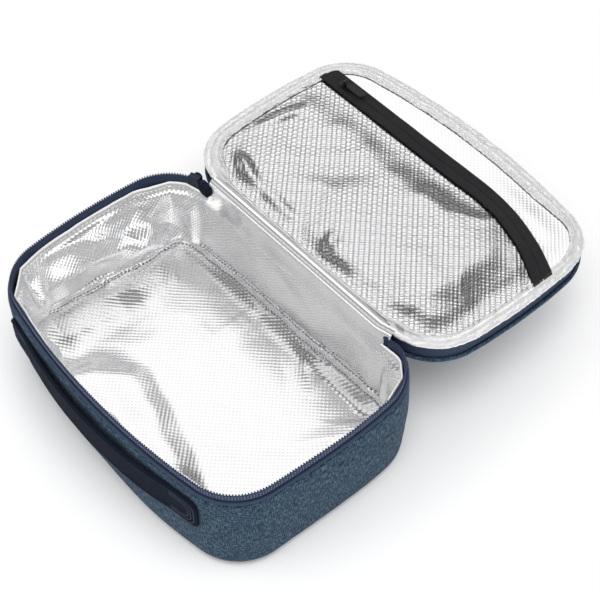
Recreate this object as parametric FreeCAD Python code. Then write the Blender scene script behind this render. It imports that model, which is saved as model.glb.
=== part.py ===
import FreeCAD, Part
import math
import os

os.makedirs("parts", exist_ok=True)

# Plan of the box in millimetres, +X along the long side, +Y towards the hinge.
length = 272.0
width = 180.0
corner_radius = 43.0
front_bow_radius = 560.0
back_bow_radius = 2800.0
side_bow_radius = 480.0

# Layers of the soft wall, counted inwards from the outer face.
fabric = 1.0
foam = 5.0
foil = 0.6
tape = 0.8
wall_inside = fabric + foam

# Heights of the tray.
wall_top = 76.0
foam_top = 70.0
tape_top = 85.0
coil_height = 2.0
coil_top = tape_top + coil_height
bottom_round = 9.0
shoulder_round = 2.5

# The zip tape stands a little inside the outer face, with a folded tab over each end.
tape_out = 2.6
tape_in = tape_out + tape
coil_out = 2.0
coil_in = 4.0
lip_top = 78.0
hem_thick = 0.8
hem_low = 75.0
hem_top = 79.0
tab_out = 1.6
tab_in = 4.8
tab_top = 87.4

# The foil wall leans in towards its foot, as (inset, height) of its inner face.
floor_foam_top = 8.0
liner_rows = [(9.0, 23.0), (9.6, 34.0), (9.4, 44.0), (8.6, 54.0), (7.4, 63.0), (6.6, 70.6)]

# The foil floor lies flat on the foam and rises to the foot seam, as rows of its upper face.
floor_rows = [(30.0, 8.6), (20.0, 11.2), (13.5, 16.0), (10.4, 20.4), (9.4, 22.6)]

# Stitched band over the foot seam, as rows of its hidden and its seen face.
welt_back_rows = [(12.25, 18.0), (10.55, 20.5), (9.5, 22.9), (9.35, 27.0)]
welt_face_rows = [(13.4, 18.0), (11.9, 20.5), (10.9, 23.2), (10.6, 27.0)]

# Hinge along the back rim, and how far the lid lies past level.
hinge_y = 91.0
hinge_z = 87.05
hinge_half = 90.0
hinge_clear = 0.3
tape_end = 98.0
lid_tilt = 1.8
fold_in = 3.7
fold_out = 4.5
foil_fold_in = 4.8
foil_fold_out = 5.4
hinge_low = 70.65
hinge_cloth_end = 101.9
hinge_foil_end = 90.2
slot_low_y = 80.0
slot_high_y = 87.4

# Lid, given by its heights when it is closed on the tray.
lid_coil_low = 90.4
lid_tape_low = lid_coil_low + coil_height
lid_tape_top = 102.4
cap_out = 0.0
cap_low = 102.0
cap_top = 109.0
cap_round = 6.5
lid_foam_out = 4.1
binding_out = 6.6
binding_in = 12.0
binding_low = 86.5
binding_round = 1.6
flange_out = -0.4
flange_low = 88.7
flange_top = 90.2
lining_low = 88.6
lining_top = lining_low + foil

# Net pocket inside the lid.
pocket_y = -47.0
pocket_bend_x = 30.0
pocket_bend_radius = 200.0
pocket_bend_turn = 60.0
pocket_tape_near = 1.3
pocket_tape_far = 8.5
pocket_tape_low = 86.7
pocket_tape_top = 87.4
pocket_coil_half = 1.2
pocket_coil_low = 86.5
pocket_coil_top = 88.0
net_low = 87.4
net_top = 88.0
net_edge = 5.0
net_pitch = 11.6
net_strand = 1.6
net_margin = 2.0

# Grab handle on the front wall.
strap_low = 40.0
strap_top = 69.0
strap_thick = 2.5
strap_gap = 6.0
strap_half = 82.0
patch_thick = 3.0
patch_end = 102.0
patch_round = 9.0

# Slider and pull of the rim zip.
slider_half_angle = 6.0
slider_start_angle = 17.0
slider_low = 80.5
slider_top = 88.3
slider_bridge = 87.3
plate_outer = (0.6, 1.6)
plate_inner = (4.4, 5.4)
stud_height = 84.5
stud_radius = 0.9
stud_head_radius = 1.8
stud_head = 0.6
stud_clear = 0.4
pull_reach = 1.0
pull_thick = 1.0
pull_half = 3.2
pull_round = 2.8
pull_length = 23.0

# Slider and pull of the pocket zip.
pocket_slider_x = -102.0
pocket_slider_half = 5.5
pocket_slider_wide = 4.0
pocket_slider_round = 2.5
pocket_plate_low = 85.0
pocket_plate_top = 86.2
pocket_pin_z = 82.8
pocket_pin_radius = 0.6
cheek_near = 2.3
cheek_far = 3.3
cheek_half = 1.2
cheek_past = 1.0
eye_radius = 1.9
eye_hole = 1.0
eye_half = 1.9
neck_length = 3.3
pocket_pull_length = 20.0

half_long = length / 2.0
half_wide = width / 2.0
up = FreeCAD.Vector(0, 0, 1)
along = FreeCAD.Vector(1, 0, 0)
hinge_point = FreeCAD.Vector(0, hinge_y, hinge_z)
far = 400.0

back_centre = FreeCAD.Vector(0, half_wide - back_bow_radius, 0)
front_centre = FreeCAD.Vector(0, front_bow_radius - half_wide, 0)


def side_centre(sign):
    return FreeCAD.Vector(sign * (half_long - side_bow_radius), 0, 0)


# Centre of the corner arc that touches a long side and a short side from within.
def corner_centre(long_centre, long_radius, sign):
    short_centre = side_centre(sign)
    reach_long = long_radius - corner_radius
    reach_short = side_bow_radius - corner_radius
    span = short_centre - long_centre
    dist = span.Length
    part = (reach_long ** 2 - reach_short ** 2 + dist ** 2) / (2.0 * dist)
    rise = math.sqrt(reach_long ** 2 - part ** 2)
    unit = span * (1.0 / dist)
    normal = FreeCAD.Vector(-unit.y, unit.x, 0)
    first = long_centre + unit * part + normal * rise
    second = long_centre + unit * part - normal * rise
    if sign * first.x > sign * second.x:
        return first
    return second


def towards(start, end):
    step = end - start
    return step * (1.0 / step.Length)


def lifted(point, height):
    return FreeCAD.Vector(point.x, point.y, height)


def arc_at(start, middle, end, height):
    return Part.Arc(lifted(start, height), lifted(middle, height), lifted(end, height)).toShape()


# Plan outline, moved inwards by a distance, as eight tangent arcs at a height.
def outline(inset, height):
    sides = [(back_centre, back_bow_radius, 1.0), (front_centre, front_bow_radius, -1.0)]
    corners = {}
    for centre, radius, row in sides:
        for sign in (-1.0, 1.0):
            corners[(row, sign)] = corner_centre(centre, radius, sign)
    edges = []
    for centre, radius, row in sides:
        ends = []
        for sign in (-1.0, 1.0):
            ends.append(centre + towards(centre, corners[(row, sign)]) * (radius - inset))
        middle = FreeCAD.Vector(0, row * (half_wide - inset), 0)
        edges.append(arc_at(ends[0], middle, ends[1], height))
    for sign in (-1.0, 1.0):
        centre = side_centre(sign)
        ends = []
        for row in (-1.0, 1.0):
            ends.append(centre + towards(centre, corners[(row, sign)]) * (side_bow_radius - inset))
        middle = FreeCAD.Vector(sign * (half_long - inset), 0, 0)
        edges.append(arc_at(ends[0], middle, ends[1], height))
    for centre, radius, row in sides:
        for sign in (-1.0, 1.0):
            core = corners[(row, sign)]
            out_long = towards(centre, core)
            out_short = towards(side_centre(sign), core)
            out_mid = towards(FreeCAD.Vector(0, 0, 0), out_long + out_short)
            points = []
            for step in (out_long, out_mid, out_short):
                points.append(core + step * (corner_radius - inset))
            edges.append(arc_at(points[0], points[1], points[2], height))
    return Part.Wire(Part.__sortEdges__(edges))


def prism(inset, low, high):
    return Part.Face(outline(inset, low)).extrude(up * (high - low))


def ring(outer, inner, low, high):
    return prism(outer, low, high).cut(prism(inner, low, high))


# Solid that fills the plan between rows of inset and height.
def stack(rows, shift_in, shift_up):
    wires = [outline(inset + shift_in, height + shift_up) for inset, height in rows]
    return Part.makeLoft(wires, True, True)


def flat_edges(shape, height):
    chosen = []
    for edge in shape.Edges:
        box = edge.BoundBox
        if abs(box.ZMin - height) < 1e-4 and abs(box.ZMax - height) < 1e-4:
            chosen.append(edge)
    return chosen


def rounded(inset, low, high, low_round, high_round):
    body = prism(inset, low, high)
    if low_round > 0:
        body = body.makeFillet(low_round, flat_edges(body, low))
    if high_round > 0:
        body = body.makeFillet(high_round, flat_edges(body, high))
    return body


def block(x0, x1, y0, y1, z0, z1):
    return Part.makeBox(x1 - x0, y1 - y0, z1 - z0, FreeCAD.Vector(x0, y0, z0))


def back_gap(half):
    return block(-half, half, 0, far, foam_top + foil, far)


def opened(shape):
    turned = shape.copy()
    turned.rotate(hinge_point, along, -(180.0 + lid_tilt))
    return turned


def cavity():
    return rounded(fabric, fabric, wall_top - fabric, bottom_round - fabric, shoulder_round - fabric)


def base_wall_fabric():
    body = rounded(0, 0, wall_top, bottom_round, shoulder_round).cut(cavity())
    body = body.cut(prism(bottom_round, -fabric, 2.0 * fabric))
    body = body.cut(prism(tape_out, foam_top, wall_top + fabric))
    edge = hinge_half + hinge_clear
    return body.cut(block(-edge, edge, slot_low_y, slot_high_y, foam_top, far))


def base_bottom_fabric():
    return prism(bottom_round, 0, fabric)


def base_wall_foam():
    below = block(-far, far, -far, far, 0, foam_top)
    return cavity().common(below).cut(prism(wall_inside, 0, wall_top))


def base_floor_foam():
    return cavity().common(prism(wall_inside, fabric, floor_foam_top))


def liner_wall_foil():
    wall = stack(liner_rows, -foil, 0.0).cut(stack(liner_rows, 0.0, 0.0))
    shelf = ring(tape_in, wall_inside, foam_top, foam_top + foil)
    lip = ring(tape_in, tape_in + foil, foam_top + foil, lip_top)
    body = wall.fuse(shelf).fuse(lip.cut(back_gap(hinge_half + hinge_clear)))
    return body.removeSplitter()


def liner_floor_foil():
    return stack(floor_rows, 0.0, -foil).cut(stack(floor_rows, 0.0, 0.0))


def liner_floor_welt():
    return stack(welt_back_rows, 0.0, 0.0).cut(stack(welt_face_rows, 0.0, 0.0))


def liner_rim_hem():
    start = tape_in + foil
    return ring(start, start + hem_thick, hem_low, hem_top).cut(back_gap(hinge_half + hinge_clear))


def base_zip_tape():
    return ring(tape_out, tape_in, foam_top, tape_top).cut(block(-tape_end, tape_end, 0, far, 0, far))


def base_zip_coil():
    return ring(coil_out, coil_in, tape_top, coil_top).cut(block(-tape_end, tape_end, 0, far, 0, far))


def zip_end_tab(sign):
    near = hinge_half + hinge_clear
    side = block(min(sign * near, sign * tape_end), max(sign * near, sign * tape_end), 0, far, 0, far)
    return ring(tab_out, tab_in, hem_top + hinge_clear, tab_top).common(side)


def half_tube(inner, outer):
    size = 2.0 * hinge_half
    start = FreeCAD.Vector(-hinge_half, hinge_y, hinge_z)
    tube = Part.makeCylinder(outer, size, start, along).cut(Part.makeCylinder(inner, size, start, along))
    upper = block(-hinge_half, hinge_half, hinge_y - far, hinge_y + far, hinge_z, hinge_z + far)
    tilted = upper.copy()
    tilted.rotate(hinge_point, along, -lid_tilt)
    return tube.common(upper.fuse(tilted))


def hinge_panel(inner, outer, closed_end):
    low = block(-hinge_half, hinge_half, hinge_y - outer, hinge_y - inner, hinge_low, hinge_z)
    high = block(-hinge_half, hinge_half, hinge_y - outer, hinge_y - inner, hinge_z, closed_end)
    body = half_tube(inner, outer).fuse(low).fuse(opened(high))
    return body.removeSplitter()


def front_wall_y(x):
    return front_centre.y - math.sqrt(front_bow_radius ** 2 - x ** 2)


def handle_strap():
    end = front_wall_y(strap_half)
    points = []
    for reach in (strap_gap, strap_gap + strap_thick):
        shift = 0.0 if reach == strap_gap else strap_thick
        left = FreeCAD.Vector(-strap_half, end - shift, strap_low)
        mid = FreeCAD.Vector(0, -half_wide - reach, strap_low)
        right = FreeCAD.Vector(strap_half, end - shift, strap_low)
        points.append((left, mid, right))
    inner = Part.Arc(*points[0]).toShape()
    outer = Part.Arc(*points[1]).toShape()
    ends = [Part.makeLine(points[0][i], points[1][i]) for i in (0, 2)]
    face = Part.Face(Part.Wire(Part.__sortEdges__([inner, outer] + ends)))
    return face.extrude(up * (strap_top - strap_low))


def handle_patch(sign):
    low = min(sign * strap_half, sign * patch_end)
    window = block(low, low + patch_end - strap_half, -far, 0, strap_low, strap_top)
    corners = []
    for edge in window.Edges:
        box = edge.BoundBox
        if box.YLength > far / 2.0 and abs(abs(box.XMin) - patch_end) < 1e-4:
            corners.append(edge)
    window = window.makeFillet(patch_round, corners)
    return ring(-patch_thick, 0, strap_low, strap_top).common(window)


def lid_hollow():
    return rounded(tape_out, lid_coil_low, cap_top - fabric, 0, cap_round - fabric)


def lid_cap_fabric():
    return opened(rounded(cap_out, cap_low, cap_top, 0, cap_round).cut(lid_hollow()))


def lid_foam():
    body = lid_hollow().common(prism(lid_foam_out, lid_coil_low, cap_top))
    return opened(body.fuse(prism(binding_in, lining_top, lid_coil_low)).removeSplitter())


def lid_lining_foil():
    return opened(prism(binding_in, lining_low, lining_top))


def lid_binding_foil():
    edge = hinge_half + hinge_clear
    roll = ring(binding_out, binding_in, binding_low, flange_top)
    roll = roll.makeFillet(binding_round, flat_edges(roll, binding_low))
    flange = ring(flange_out, binding_out, flange_low, flange_top)
    flange = flange.cut(block(-edge, edge, 0, far, 0, far))
    return opened(roll.fuse(flange).removeSplitter())


def lid_zip_tape():
    edge = hinge_half + hinge_clear
    body = ring(tape_out, tape_in, lid_tape_low, lid_tape_top)
    return opened(body.cut(block(-edge, edge, 0, far, 0, far)))


def lid_zip_coil():
    edge = hinge_half + hinge_clear
    body = ring(coil_out, coil_in, lid_coil_low, lid_tape_low)
    return opened(body.cut(block(-edge, edge, 0, far, 0, far)))


# Everything on the hinge side of the pocket zip line, moved by a distance from it.
def pocket_side(shift, low, high):
    start_y = pocket_y + shift
    radius = pocket_bend_radius - shift
    centre = FreeCAD.Vector(pocket_bend_x, pocket_y + pocket_bend_radius, low)
    turn = math.radians(pocket_bend_turn)
    half = turn / 2.0
    first = FreeCAD.Vector(-far, start_y, low)
    bend = FreeCAD.Vector(pocket_bend_x, start_y, low)
    middle = centre + FreeCAD.Vector(math.sin(half), -math.cos(half), 0) * radius
    last = centre + FreeCAD.Vector(math.sin(turn), -math.cos(turn), 0) * radius
    top_right = FreeCAD.Vector(last.x, far, low)
    top_left = FreeCAD.Vector(-far, far, low)
    edges = [Part.makeLine(first, bend), Part.Arc(bend, middle, last).toShape()]
    corners = [last, top_right, top_left, first]
    edges += [Part.makeLine(corners[i], corners[i + 1]) for i in range(len(corners) - 1)]
    return Part.Face(Part.Wire(edges)).extrude(up * (high - low))


def pocket_band(near_shift, far_shift, low, high):
    band = pocket_side(near_shift, low, high).cut(pocket_side(far_shift, low, high))
    return prism(binding_in, low, high).common(band)


def pocket_zip_tape_outer():
    return opened(pocket_band(-pocket_tape_far, -pocket_tape_near, pocket_tape_low, pocket_tape_top))


def pocket_zip_tape_inner():
    return opened(pocket_band(pocket_tape_near, pocket_tape_far, pocket_tape_low, pocket_tape_top))


def pocket_zip_coil():
    return opened(pocket_band(-pocket_coil_half, pocket_coil_half, pocket_coil_low, pocket_coil_top))


def hexagon(x, y, radius, height):
    corners = []
    for i in range(7):
        turn = math.radians(60.0 * i + 30.0)
        corners.append(FreeCAD.Vector(x + radius * math.cos(turn), y + radius * math.sin(turn), height))
    return Part.makePolygon(corners)


# Net as one flat face with hexagon holes, pushed to its thickness.
def pocket_net():
    sheet = prism(binding_in, net_low, net_top).common(pocket_side(net_edge, net_low, net_top))
    room = prism(binding_in + net_margin, net_low, net_top)
    room = room.common(pocket_side(pocket_tape_far + net_margin, net_low, net_top))
    base = [face for face in sheet.Faces if abs(face.BoundBox.ZMax - net_low) < 1e-4][0]
    hole_radius = (net_pitch - net_strand) / math.sqrt(3.0)
    row_step = net_pitch * math.sqrt(3.0) / 2.0
    rows = int(width / row_step)
    columns = int(length / net_pitch)
    holes = []
    for row in range(-rows, rows + 1):
        for column in range(-columns, columns + 1):
            x = (column + 0.5 * (row % 2)) * net_pitch
            wire = hexagon(x, row * row_step, hole_radius, net_low)
            if all(room.isInside(vertex.Point, 1e-6, True) for vertex in wire.Vertexes):
                holes.append(wire)
    face = Part.Face([base.OuterWire] + holes)
    return opened(face.extrude(up * (net_top - net_low)))


def zip_corner():
    return corner_centre(back_centre, back_bow_radius, -1.0)


def slider_angle():
    out = towards(back_centre, zip_corner())
    return math.degrees(math.atan2(out.y, out.x)) + slider_start_angle


def sector(inset_out, inset_in, low, high):
    size = 2.0 * slider_half_angle
    start = FreeCAD.Vector(0, 0, low)
    outer = Part.makeCylinder(corner_radius - inset_out, high - low, start, up, size)
    inner = Part.makeCylinder(corner_radius - inset_in, high - low, start, up, size)
    body = outer.cut(inner)
    body.rotate(FreeCAD.Vector(0, 0, 0), up, -slider_half_angle)
    return body


def at_slider(shape):
    placed = shape.copy()
    placed.rotate(FreeCAD.Vector(0, 0, 0), up, slider_angle())
    placed.translate(zip_corner())
    return placed


# The slider wraps the tooth row and carries a headed stud for the pull.
def main_slider():
    body = sector(plate_outer[0], plate_outer[1], slider_low, slider_top)
    body = body.fuse(sector(plate_inner[0], plate_inner[1], slider_low, slider_top))
    body = body.fuse(sector(plate_outer[0], plate_inner[1], slider_bridge, slider_top))
    root = corner_radius - (plate_outer[0] + plate_outer[1]) / 2.0
    head = corner_radius + pull_reach + pull_thick + stud_clear
    stud = Part.makeCylinder(stud_radius, head - root, FreeCAD.Vector(root, 0, stud_height), along)
    cap = Part.makeCylinder(stud_head_radius, stud_head, FreeCAD.Vector(head, 0, stud_height), along)
    return at_slider(body.fuse(stud).fuse(cap).removeSplitter())


# Flat pull that hangs from the stud and swings beside the wall.
def main_pull():
    start = corner_radius + pull_reach
    blade = block(start, start + pull_thick, -pull_half, pull_half, stud_height - pull_length, stud_height)
    ends = []
    for edge in blade.Edges:
        box = edge.BoundBox
        if box.YLength < 1e-4 and box.ZLength < 1e-4 and box.ZMin < stud_height - pull_length / 2.0:
            ends.append(edge)
    blade = blade.makeFillet(pull_round, ends)
    centre = FreeCAD.Vector(start, 0, stud_height)
    eye = Part.makeCylinder(pull_half, pull_thick, centre, along)
    hole = Part.makeCylinder(stud_radius + stud_clear, pull_thick, centre, along)
    return at_slider(blade.fuse(eye).cut(hole).removeSplitter())


def pocket_slider():
    x0 = pocket_slider_x - pocket_slider_half
    x1 = pocket_slider_x + pocket_slider_half
    y0 = pocket_y - pocket_slider_wide
    y1 = pocket_y + pocket_slider_wide
    body = block(x0, x1, y0, y1, pocket_plate_low, pocket_plate_top)
    uprights = [edge for edge in body.Edges if edge.BoundBox.ZLength > foil]
    body = body.makeFillet(pocket_slider_round, uprights)
    cheek_x0 = pocket_slider_x - cheek_half
    cheek_x1 = pocket_slider_x + cheek_half
    cheek_low = pocket_pin_z - cheek_past
    for side in (-1.0, 1.0):
        near = pocket_y + min(side * cheek_near, side * cheek_far)
        cheek_far_y = near + cheek_far - cheek_near
        body = body.fuse(block(cheek_x0, cheek_x1, near, cheek_far_y, cheek_low, pocket_plate_low))
    pin_start = FreeCAD.Vector(pocket_slider_x, pocket_y - cheek_far, pocket_pin_z)
    pin = Part.makeCylinder(pocket_pin_radius, 2.0 * cheek_far, pin_start, FreeCAD.Vector(0, 1, 0))
    return opened(body.fuse(pin).removeSplitter())


# Pull tab with an eye round the pin of the pocket slider, lying along the tape.
def pocket_pull():
    side = FreeCAD.Vector(0, 1, 0)
    eye = Part.makeCylinder(eye_radius, 2.0 * eye_half, FreeCAD.Vector(0, -eye_half, 0), side)
    half_thick = pull_thick / 2.0
    neck = block(0, 2.0 * neck_length, -eye_half, eye_half, -half_thick, half_thick)
    blade = block(neck_length, pocket_pull_length, -pull_half, pull_half, -half_thick, half_thick)
    ends = []
    for edge in blade.Edges:
        box = edge.BoundBox
        if box.XLength < 1e-4 and box.YLength < 1e-4 and box.XMin > neck_length + pull_half:
            ends.append(edge)
    blade = blade.makeFillet(pull_round, ends)
    hole = Part.makeCylinder(eye_hole, 4.0 * eye_half, FreeCAD.Vector(0, -2.0 * eye_half, 0), side)
    body = eye.fuse(neck).fuse(blade).cut(hole).removeSplitter()
    body.translate(FreeCAD.Vector(pocket_slider_x, pocket_y, pocket_pin_z))
    return opened(body)


def save(name, shape):
    shape.exportStep(os.path.join("parts", name + ".step"))


save("base_wall_fabric", base_wall_fabric())
save("base_bottom_fabric", base_bottom_fabric())
save("base_wall_foam", base_wall_foam())
save("base_floor_foam", base_floor_foam())
save("liner_wall_foil", liner_wall_foil())
save("liner_floor_foil", liner_floor_foil())
save("liner_floor_welt", liner_floor_welt())
save("liner_rim_hem", liner_rim_hem())
save("base_zip_tape", base_zip_tape())
save("base_zip_coil", base_zip_coil())
save("zip_end_tab_left", zip_end_tab(-1.0))
save("zip_end_tab_right", zip_end_tab(1.0))
save("hinge_panel_fabric", hinge_panel(fold_in, fold_out, hinge_cloth_end))
save("hinge_panel_foil", hinge_panel(foil_fold_in, foil_fold_out, hinge_foil_end))
save("handle_strap", handle_strap())
save("handle_patch_left", handle_patch(-1.0))
save("handle_patch_right", handle_patch(1.0))
save("lid_cap_fabric", lid_cap_fabric())
save("lid_foam", lid_foam())
save("lid_lining_foil", lid_lining_foil())
save("lid_binding_foil", lid_binding_foil())
save("lid_zip_tape", lid_zip_tape())
save("lid_zip_coil", lid_zip_coil())
save("pocket_net", pocket_net())
save("pocket_zip_tape_inner", pocket_zip_tape_inner())
save("pocket_zip_tape_outer", pocket_zip_tape_outer())
save("pocket_zip_coil", pocket_zip_coil())
save("main_slider", main_slider())
save("main_pull", main_pull())
save("pocket_slider", pocket_slider())
save("pocket_pull", pocket_pull())
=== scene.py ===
from math import atan2, cos, exp, pi, radians, sin, sqrt

import bpy
import numpy as np
from mathutils import Matrix, Quaternion, Vector, noise


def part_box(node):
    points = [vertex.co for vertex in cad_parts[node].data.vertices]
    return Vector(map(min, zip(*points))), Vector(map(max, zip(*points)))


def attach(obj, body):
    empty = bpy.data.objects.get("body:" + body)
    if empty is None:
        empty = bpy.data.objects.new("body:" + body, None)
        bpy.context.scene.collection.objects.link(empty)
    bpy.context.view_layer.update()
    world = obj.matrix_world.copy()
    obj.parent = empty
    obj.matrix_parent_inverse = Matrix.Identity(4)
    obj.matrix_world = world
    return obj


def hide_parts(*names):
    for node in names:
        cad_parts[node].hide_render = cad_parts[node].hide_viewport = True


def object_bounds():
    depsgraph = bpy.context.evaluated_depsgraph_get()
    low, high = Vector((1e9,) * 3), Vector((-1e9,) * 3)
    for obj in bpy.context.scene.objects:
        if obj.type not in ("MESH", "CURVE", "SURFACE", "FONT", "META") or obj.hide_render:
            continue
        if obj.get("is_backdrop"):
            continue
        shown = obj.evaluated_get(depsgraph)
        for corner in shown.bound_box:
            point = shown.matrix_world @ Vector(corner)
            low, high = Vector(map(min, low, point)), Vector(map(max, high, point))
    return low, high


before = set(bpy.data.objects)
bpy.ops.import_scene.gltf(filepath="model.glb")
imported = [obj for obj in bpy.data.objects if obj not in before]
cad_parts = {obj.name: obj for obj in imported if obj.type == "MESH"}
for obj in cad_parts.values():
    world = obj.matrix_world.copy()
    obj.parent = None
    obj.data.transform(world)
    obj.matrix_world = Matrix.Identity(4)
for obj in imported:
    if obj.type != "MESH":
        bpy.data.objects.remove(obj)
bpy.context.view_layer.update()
scene = bpy.context.scene
scene.view_settings.view_transform = "Standard"
print("frame loaded", len(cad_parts), "nodes")

# plan of the tray, the same arcs as the solids
plan = dict(length=0.272, width=0.180, corner=0.043, frontBow=0.560, backBow=2.8, sideBow=0.480)
hinge = dict(y=0.091, z=0.08705, half=0.090, tapeEnd=0.098, tilt=1.8, zipGap=0.0030, lidZipGap=0.0003,
             foilGap=0.0005, hemGap=0.002)


def cornerCentre(longCentre, longRadius, side):  # of the arc that joins a long and a short side
    shortCentre = np.array([side * (plan["length"] / 2 - plan["sideBow"]), 0.0])
    a, b = longRadius - plan["corner"], plan["sideBow"] - plan["corner"]
    span = shortCentre - longCentre
    d = np.linalg.norm(span)
    t = (a * a - b * b + d * d) / (2 * d)
    h = sqrt(a * a - t * t)
    u = span / d
    found = [longCentre + u * t + k * h * np.array([-u[1], u[0]]) for k in (1, -1)]
    return max(found, key=lambda p: side * p[0])


def makeArcs():  # centre, radius, start and end angle, from the back middle to the left
    r, sideBow, frontBow, backBow = (plan[k] for k in ("corner", "sideBow", "frontBow", "backBow"))
    back, front = np.array([0, plan["width"] / 2 - backBow]), np.array([0, frontBow - plan["width"] / 2])
    left = np.array([sideBow - plan["length"] / 2, 0.0])
    bl, br = (cornerCentre(back, backBow, k) for k in (-1, 1))
    fl, fr = (cornerCentre(front, frontBow, k) for k in (-1, 1))
    rows = [(back, backBow), (bl, r), (left, sideBow), (fl, r), (front, frontBow), (fr, r), (-left, sideBow),
            (br, r), (back, backBow)]
    marks = [pi / 2]
    for (a, aRadius), (b, bRadius) in zip(rows, rows[1:]):
        x, y = b - a if aRadius > bRadius else a - b
        marks.append(atan2(y, x))
    marks.append(pi / 2)
    for i in range(1, len(marks)):
        while marks[i] < marks[i - 1]:
            marks[i] += 2 * pi
    return [(c, rad, marks[i], marks[i + 1]) for i, (c, rad) in enumerate(rows)]


arcs = makeArcs()
arcEnds = np.cumsum([0] + [r * (b - a) for c, r, a, b in arcs])
loopLength = float(arcEnds[-1])


def around(count):  # even steps round the whole line
    return np.linspace(0, loopLength, count, endpoint=False)


def planAt(s):  # point and outward normal on the outer line, s runs from the back middle to the left
    s = np.asarray(s, float)
    k = np.clip(np.searchsorted(arcEnds, s % loopLength, side="right") - 1, 0, len(arcs) - 1)
    centre = np.array([arcs[i][0] for i in k])
    radius = np.array([arcs[i][1] for i in k])
    angle = np.array([arcs[i][2] for i in k]) + (s % loopLength - arcEnds[k]) / radius
    out = np.stack([np.cos(angle), np.sin(angle)], 1)
    return centre + out * radius[:, None], out


def planWhereX(x):  # run along the line, from the back middle to the left, to reach -x
    s = np.linspace(0, 0.16, 3201)
    return float(np.interp(x, -planAt(s)[0][:, 0], s))


edgeRun, edgeOut = planAt(around(720))


def depthInside(xy):  # how far inside the outer line
    return np.min(np.sum((edgeRun[None] - xy[:, None]) * edgeOut[None], axis=2), axis=1)


lidOpen = (Matrix.Translation((0, hinge["y"], hinge["z"]))
           @ Matrix.Rotation(radians(-180 - hinge["tilt"]), 4, "X")
           @ Matrix.Translation((0, -hinge["y"], -hinge["z"])))


def rough(points, size, seed):  # soft noise over an array of points, about -1 to 1
    flat = points.reshape(-1, 3) / size + seed * 7.31
    return np.array([noise.noise(Vector(p)) for p in flat]).reshape(points.shape[:-1])


def creased(points, size, seed):  # sharp ridges, 0 to 1
    return np.clip(1 - 2.6 * np.abs(rough(points, size, seed)), 0, 1) ** 1.5


def rippled(points, waves):  # noise waves, each with a height, a size and a seed
    return sum(high * rough(points, size, seed) for high, size, seed in waves)


def smooth(a, b, x):
    t = np.clip((x - a) / (b - a), 0, 1)
    return t * t * (3 - 2 * t)


def unit(v):
    return v / np.maximum(np.linalg.norm(v, axis=-1, keepdims=True), 1e-12)


def withZ(xy, z=0.0):
    return np.column_stack([xy, np.broadcast_to(z, len(xy))])


def looped(line):
    return np.concatenate([line, line[:1]])


def runOf(line):  # length along a line of points
    return np.concatenate([[0], np.cumsum(np.linalg.norm(np.diff(line, axis=0), axis=1))])


def linked(name, data):
    obj = bpy.data.objects.new(name, data)
    scene.collection.objects.link(obj)
    return obj


def meshFrom(name, verts, faces, uvs, finish, sharp=None):
    mesh = bpy.data.meshes.new(name)
    mesh.from_pydata([tuple(v) for v in verts], [], [tuple(int(i) for i in f) for f in faces])
    layer = mesh.uv_layers.new(name="cut")
    layer.data.foreach_set("uv", np.asarray(uvs, np.float32).ravel())
    mesh.shade_smooth()
    if sharp:
        mesh.set_sharp_from_angle(angle=radians(sharp))
    mesh.materials.append(finish)
    return linked(name, mesh)


def gridPiece(name, points, finish, closedU, closedV, u, v, sharp=None, caps=False):
    n, m = points.shape[:2]
    i, j = np.meshgrid(np.arange(n if closedU else n - 1), np.arange(m if closedV else m - 1), indexing="ij")
    i, j = i.ravel(), j.ravel()
    i2, j2 = (i + 1) % n, (j + 1) % m
    faces = np.stack([i * m + j, i2 * m + j, i2 * m + j2, i * m + j2], 1).tolist()
    uvs = np.stack([u[i], v[j], u[i + 1], v[j], u[i + 1], v[j + 1], u[i], v[j + 1]], 1)
    uvs = uvs.reshape(-1, 2).tolist()
    if caps:  # closes both ends of an open run with a closed section
        faces += [list(range(m))[::-1], list(range((n - 1) * m, n * m))]
        uvs += [[0.0, 0.0]] * (2 * m)
    return meshFrom(name, points.reshape(-1, 3), faces, uvs, finish, sharp)


def standing(p, out, d, z):  # points set in from the line by d, at height z
    return np.concatenate([p[:, None] - out[:, None] * d[..., None], z[..., None]], 2)


def sweep(s, section):  # carries (inset, height) points round the plan line
    p, out = planAt(s)
    d, z = (np.tile(column, (len(p), 1)) for column in np.asarray(section, float).T)
    return standing(p, out, d, z), out


def pushed(points, out, amount):  # moves a sweep along its outward normals
    moved = points.copy()
    moved[..., :2] += out[:, None, :] * amount[..., None]
    return moved


def ringPiece(name, s, section, finish, closed, shape=None, closedSection=False, sharp=None):
    points, out = sweep(s, section)
    v = runOf(looped(points[0]))
    u = np.append(s, loopLength if closed else s[-1] + 0.001)
    if shape:
        points = shape(points, out, s)
    return gridPiece(name, points, finish, closed, closedSection, u, v, sharp, closedSection and not closed)


def discPiece(name, s, inset, rings, finish, heightAt, faceUp):  # inset is a number or one for each point
    p, out = planAt(s)
    edge = p - out * np.broadcast_to(inset, len(s))[:, None]
    scale = np.linspace(1, 0, rings + 1)[:-1]
    xy = np.concatenate([edge * k for k in scale] + [np.zeros((1, 2))])
    n, faces = len(s), []
    for r in range(rings - 1):
        near, far = r * n, (r + 1) * n
        faces += [[near + i, near + (i + 1) % n, far + (i + 1) % n, far + i] for i in range(n)]
    faces += [[(rings - 1) * n + i, (rings - 1) * n + (i + 1) % n, rings * n] for i in range(n)]
    if not faceUp:
        faces = [f[::-1] for f in faces]
    return meshFrom(name, withZ(xy, heightAt(xy)), faces, [xy[k] for f in faces for k in f], finish)


print("plan line", round(loopLength, 4), "m")

# shader groups shared by the cloths and foils
white = (1, 1, 1, 1)


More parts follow.
